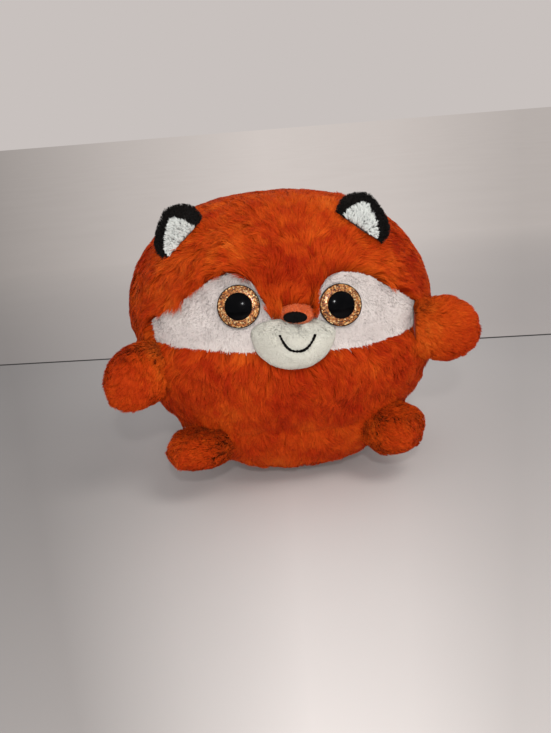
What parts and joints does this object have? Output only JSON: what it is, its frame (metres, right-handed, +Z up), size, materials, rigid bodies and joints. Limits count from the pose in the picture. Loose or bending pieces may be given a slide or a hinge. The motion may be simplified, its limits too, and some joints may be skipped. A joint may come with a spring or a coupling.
{
  "type": "plush fox",
  "caption": "Ball-shaped plush fox with domed eyes, a padded muzzle and soft ears, arms, feet and tail that fold at their seams, resting on its weighted sole.",
  "frame": {"origin": "under the middle of the whole toy, on the surface that it rests on", "axes": "+Z up, the face looks along -Y, +X is to the right of someone who looks at the face; left in names means -X"},
  "size_m": [0.2082, 0.1758, 0.165],
  "materials": {
    "long_plush_orange": "long-pile plush, orange with darker roots",
    "long_plush_white": "long-pile plush, off-white",
    "short_plush_orange": "short-pile plush, orange with a pale edge",
    "short_plush_white": "short-pile plush, white",
    "short_plush_muzzle": "short-pile plush, cool white",
    "black_plush": "short-pile plush, black",
    "ear_lining_white": "shaggy plush, white",
    "stuffing": "loose polyester fibre",
    "pellet_cloth": "plain woven bag filled with plastic pellets",
    "black_thread": "satin-stitched embroidery thread",
    "eye_black": "polished",
    "eye_glitter": "copper and gold glitter under clear plastic",
    "washer_plastic": "moulded"
  },
  "bodies": {
    "body": {"crown_panel": "long_plush_orange", "belly_panel": "long_plush_orange", "eye_patch_left": "short_plush_white", "eye_patch_right": "short_plush_white", "back_panel_left": "long_plush_orange", "back_panel_right": "long_plush_orange", "sole_panel": "long_plush_orange", "body_stuffing": "stuffing", "pellet_bag": "pellet_cloth", "muzzle_panel": "short_plush_muzzle", "muzzle_stuffing": "stuffing", "snout_pad": "short_plush_orange", "nose": "black_thread", "smile_stitch": "black_thread", "eye_back_left": "eye_black", "eye_iris_left": "eye_glitter", "eye_pupil_left": "eye_black", "eye_washer_left": "washer_plastic", "eye_back_right": "eye_black", "eye_iris_right": "eye_glitter", "eye_pupil_right": "eye_black", "eye_washer_right": "washer_plastic"},
    "ear_left": {"ear_back_left": "black_plush", "ear_lining_left": "ear_lining_white"},
    "ear_right": {"ear_back_right": "black_plush", "ear_lining_right": "ear_lining_white"},
    "arm_left": {"arm_front_left": "long_plush_orange", "arm_back_left": "long_plush_orange", "arm_stuffing_left": "stuffing"},
    "arm_right": {"arm_front_right": "long_plush_orange", "arm_back_right": "long_plush_orange", "arm_stuffing_right": "stuffing"},
    "foot_left": {"foot_top_left": "long_plush_orange", "foot_sole_left": "long_plush_orange", "foot_stuffing_left": "stuffing"},
    "foot_right": {"foot_top_right": "long_plush_orange", "foot_sole_right": "long_plush_orange", "foot_stuffing_right": "stuffing"},
    "tail": {"tail_side_left": "long_plush_orange", "tail_side_right": "long_plush_orange", "tail_tip": "long_plush_white", "tail_stuffing": "stuffing"}
  },
  "joints": [
    {"name": "ear_left_fold", "type": "hinge", "parent": "body", "child": "ear_left", "pos_m": [-0.05387, -0.04059, 0.14685], "axis": [0.7244, -0.1378, 0.6755], "range_deg": [-30, 20], "stiffness_Nm_per_rad": 0.001},
    {"name": "ear_right_fold", "type": "hinge", "parent": "body", "child": "ear_right", "pos_m": [0.03964, -0.05007, 0.14587], "axis": [0.7133, -0.425, -0.5573], "range_deg": [-30, 20], "stiffness_Nm_per_rad": 0.001},
    {"name": "arm_left_swing", "type": "hinge", "parent": "body", "child": "arm_left", "pos_m": [-0.07863, -0.04341, 0.076], "axis": [0, 0, 1], "range_deg": [-30, 30], "stiffness_Nm_per_rad": 0.01},
    {"name": "arm_right_swing", "type": "hinge", "parent": "body", "child": "arm_right", "pos_m": [0.0737, -0.04811, 0.08539], "axis": [0, 0, -1], "range_deg": [-30, 30], "stiffness_Nm_per_rad": 0.01},
    {"name": "foot_left_flex", "type": "hinge", "parent": "body", "child": "foot_left", "pos_m": [-0.04947, -0.04516, 0.03062], "axis": [-0.4848, 0.8746, 0], "range_deg": [-10, 15], "stiffness_Nm_per_rad": 0.02},
    {"name": "foot_right_flex", "type": "hinge", "parent": "body", "child": "foot_right", "pos_m": [0.049, -0.04906, 0.0312], "axis": [-0.766, -0.6428, 0], "range_deg": [-10, 15], "stiffness_Nm_per_rad": 0.02},
    {"name": "tail_wag", "type": "hinge", "parent": "body", "child": "tail", "pos_m": [0.00155, 0.05426, 0.04293], "axis": [0, -0.5592, 0.829], "range_deg": [-25, 25], "stiffness_Nm_per_rad": 0.02}
  ]
}
